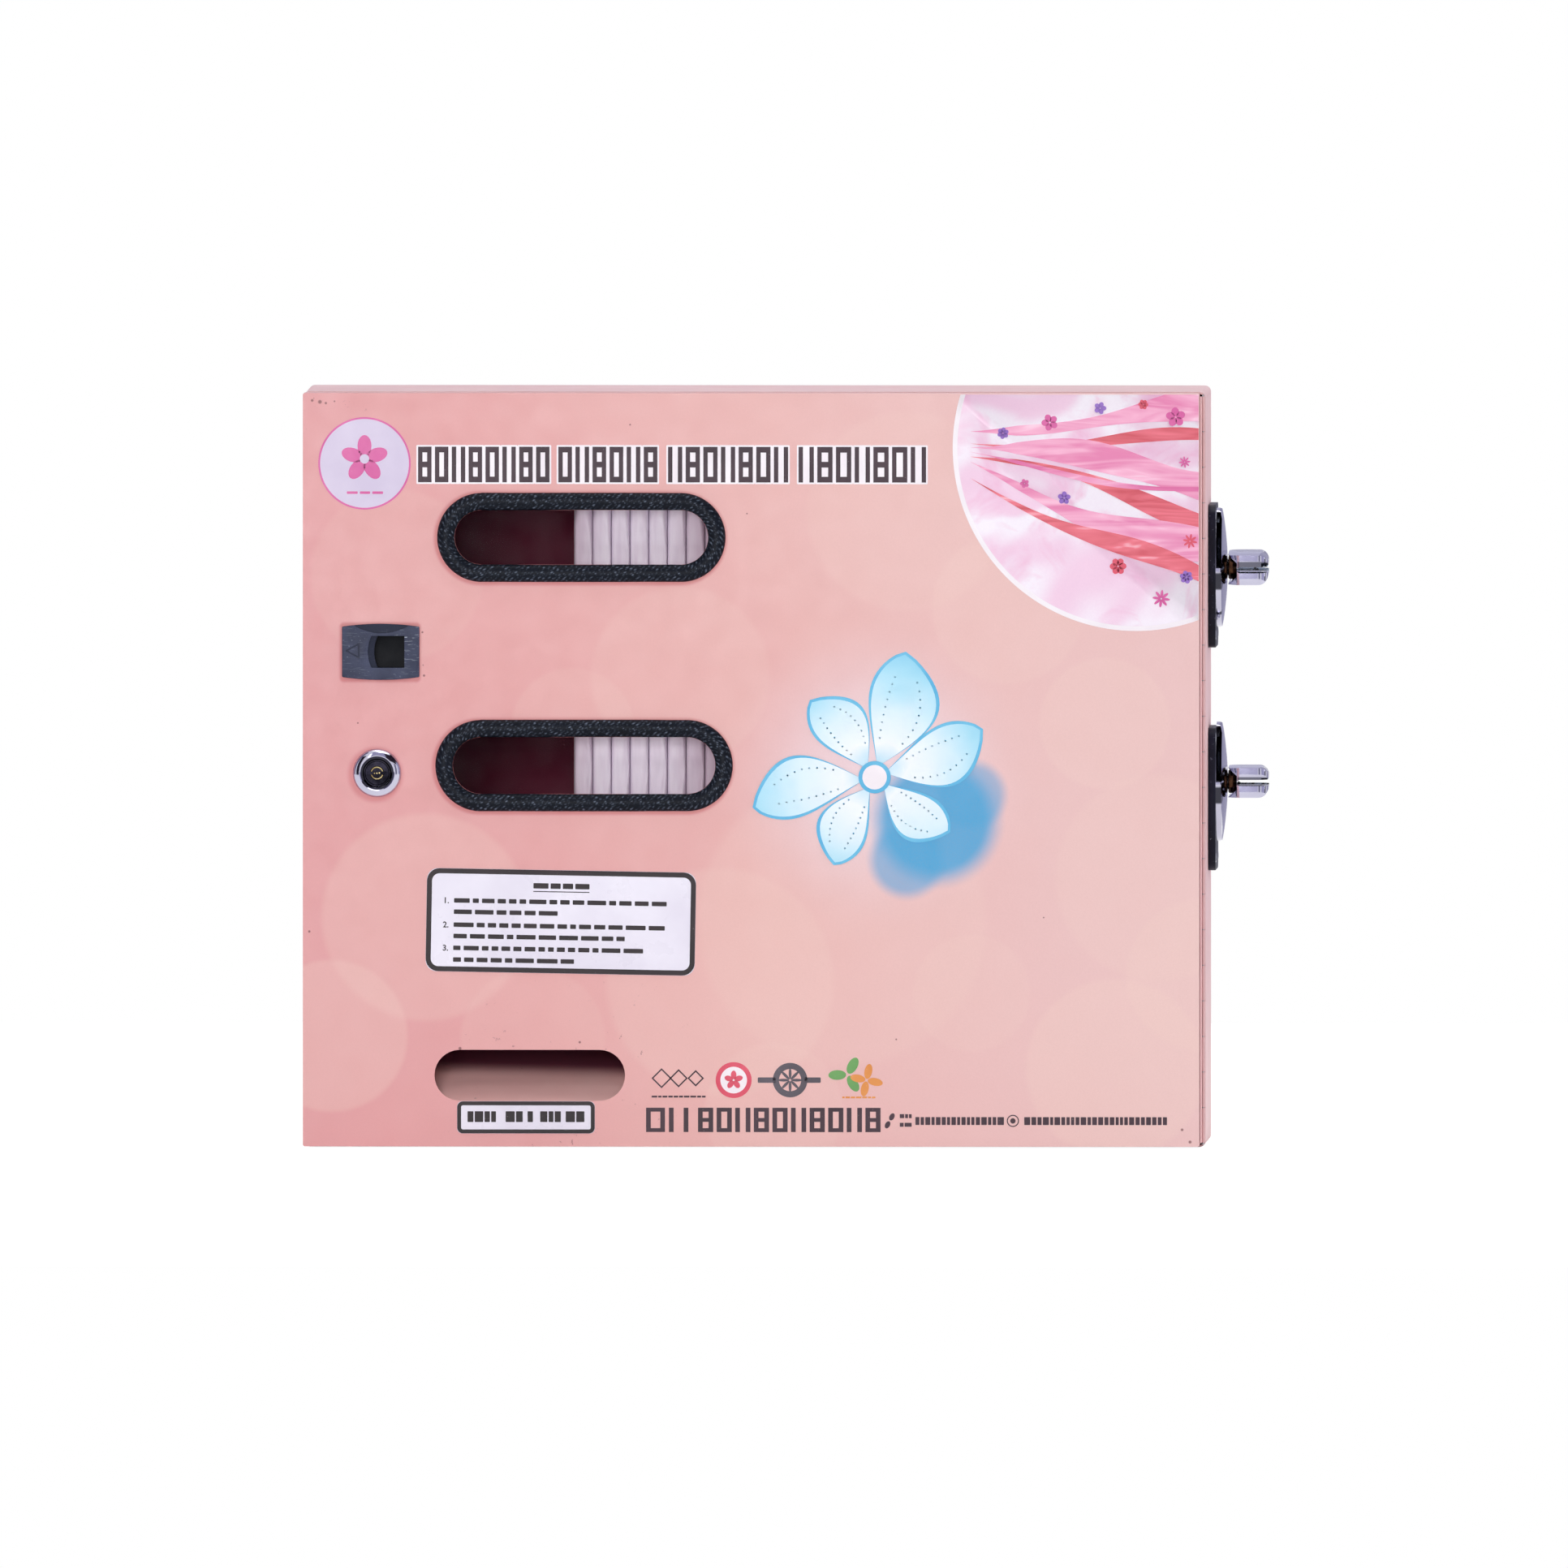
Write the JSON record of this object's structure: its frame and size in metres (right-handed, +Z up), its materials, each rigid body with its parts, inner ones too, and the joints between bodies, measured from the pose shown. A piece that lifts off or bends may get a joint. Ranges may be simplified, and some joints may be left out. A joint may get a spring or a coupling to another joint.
{
  "type": "sanitary napkin vending machine",
  "caption": "Wall-hung sheet-steel napkin vending machine with a hinged door, viewing windows, a dispensing slot and side-mounted coin mechanisms.",
  "frame": {"origin": "centre of the cabinet's underside", "axes": "+X to the coin mechanisms on the right, +Y from the door to the back, +Z up"},
  "size_m": [0.5345, 0.1533, 0.42],
  "materials": {
    "cabinet_paint": "pink powder coat, semi-gloss",
    "door_print": "printed vinyl over painted sheet, satin, faint scuffs",
    "inside_paint": "pink powder coat, satin",
    "chrome": "polished plating on die-cast metal",
    "zinc_steel": "bright zinc plated steel",
    "collar_brass": "tarnished brass",
    "black_plate": "black enamel",
    "slate_plastic": "moulded plastic, scratched",
    "window_trim": "embossed black edging",
    "window_clear": "clear acrylic",
    "label_white": "laminated label",
    "pack_wrap": "soft cotton pads in pale film wrap"
  },
  "bodies": {
    "cabinet": {"left_side": "cabinet_paint", "right_side": "cabinet_paint", "top_panel": "cabinet_paint", "bottom_panel": "cabinet_paint", "back_panel": "cabinet_paint", "upper_shelf": "inside_paint", "lower_shelf": "inside_paint", "chute_wall": "inside_paint", "chute_divider": "inside_paint", "outlet_ramp": "inside_paint", "coin_box": "zinc_steel", "coin_duct": "zinc_steel", "hinge_leaf_cabinet": "cabinet_paint", "hinge_pin": "zinc_steel", "upper_side_plate": "black_plate", "upper_coin_dome": "chrome", "upper_bracket": "zinc_steel", "upper_end_bearing": "zinc_steel", "upper_guide_rod": "zinc_steel", "upper_pawl_pin": "zinc_steel", "upper_pawl_spring": "zinc_steel", "lower_side_plate": "black_plate", "lower_coin_dome": "chrome", "lower_bracket": "zinc_steel", "lower_end_bearing": "zinc_steel", "lower_guide_rod": "zinc_steel", "lower_pawl_pin": "zinc_steel", "lower_pawl_spring": "zinc_steel"},
    "door": {"door_panel": "door_print", "hinge_leaf_door": "cabinet_paint", "upper_window_trim": "window_trim", "lower_window_trim": "window_trim", "upper_window_pane": "window_clear", "lower_window_pane": "window_clear", "instruction_plate": "label_white", "outlet_plate": "label_white", "finger_pull": "slate_plastic", "lock_body": "chrome", "lock_nut": "zinc_steel"},
    "lock_plug": {"lock_plug": "chrome", "lock_cam": "zinc_steel", "lock_cam_screw": "zinc_steel"},
    "upper_knob": {"upper_handle": "chrome", "upper_shaft_collar": "collar_brass", "upper_coin_disc": "zinc_steel", "upper_lead_screw": "zinc_steel", "upper_ratchet_wheel": "zinc_steel"},
    "upper_feed": {"upper_pusher": "zinc_steel", "upper_packs": "pack_wrap"},
    "upper_pawl": {"upper_pawl": "zinc_steel"},
    "lower_knob": {"lower_handle": "chrome", "lower_shaft_collar": "collar_brass", "lower_coin_disc": "zinc_steel", "lower_lead_screw": "zinc_steel", "lower_ratchet_wheel": "zinc_steel"},
    "lower_feed": {"lower_pusher": "zinc_steel", "lower_packs": "pack_wrap"},
    "lower_pawl": {"lower_pawl": "zinc_steel"}
  },
  "joints": [
    {"name": "door_swing", "type": "hinge", "parent": "cabinet", "child": "door", "pos_m": [0.24945, -0.0687, 0.21], "axis": [0, 0, 1], "range_deg": [0, 150]},
    {"name": "lock_turn", "type": "hinge", "parent": "door", "child": "lock_plug", "pos_m": [-0.20955, -0.07, 0.2082], "axis": [0, 1, 0], "range_deg": [0, 90]},
    {"name": "upper_knob_turn", "type": "hinge", "parent": "cabinet", "child": "upper_knob", "pos_m": [0.2, 0.025, 0.32], "axis": [-1, 0, 0], "range_deg": [0, 720]},
    {"name": "upper_feed_slide", "type": "slide", "parent": "cabinet", "child": "upper_feed", "axis": [-1, 0, 0], "range_m": [0, 0.0105]},
    {"name": "upper_pawl_lift", "type": "hinge", "parent": "cabinet", "child": "upper_pawl", "pos_m": [0.215, 0.043, 0.34], "axis": [-1, 0, 0], "range_deg": [0, 10], "stiffness_Nm_per_rad": 0.02, "springref_deg": -9.74},
    {"name": "lower_knob_turn", "type": "hinge", "parent": "cabinet", "child": "lower_knob", "pos_m": [0.2, 0.025, 0.201], "axis": [-1, 0, 0], "range_deg": [0, 720]},
    {"name": "lower_feed_slide", "type": "slide", "parent": "cabinet", "child": "lower_feed", "axis": [-1, 0, 0], "range_m": [0, 0.0105]},
    {"name": "lower_pawl_lift", "type": "hinge", "parent": "cabinet", "child": "lower_pawl", "pos_m": [0.215, 0.043, 0.221], "axis": [-1, 0, 0], "range_deg": [0, 10], "stiffness_Nm_per_rad": 0.02, "springref_deg": -9.74}
  ],
  "couplings": [
    {"joint": "upper_feed_slide", "follows": "upper_knob_turn", "m_per_rad": 0.00082761},
    {"joint": "lower_feed_slide", "follows": "lower_knob_turn", "m_per_rad": 0.00082761}
  ]
}
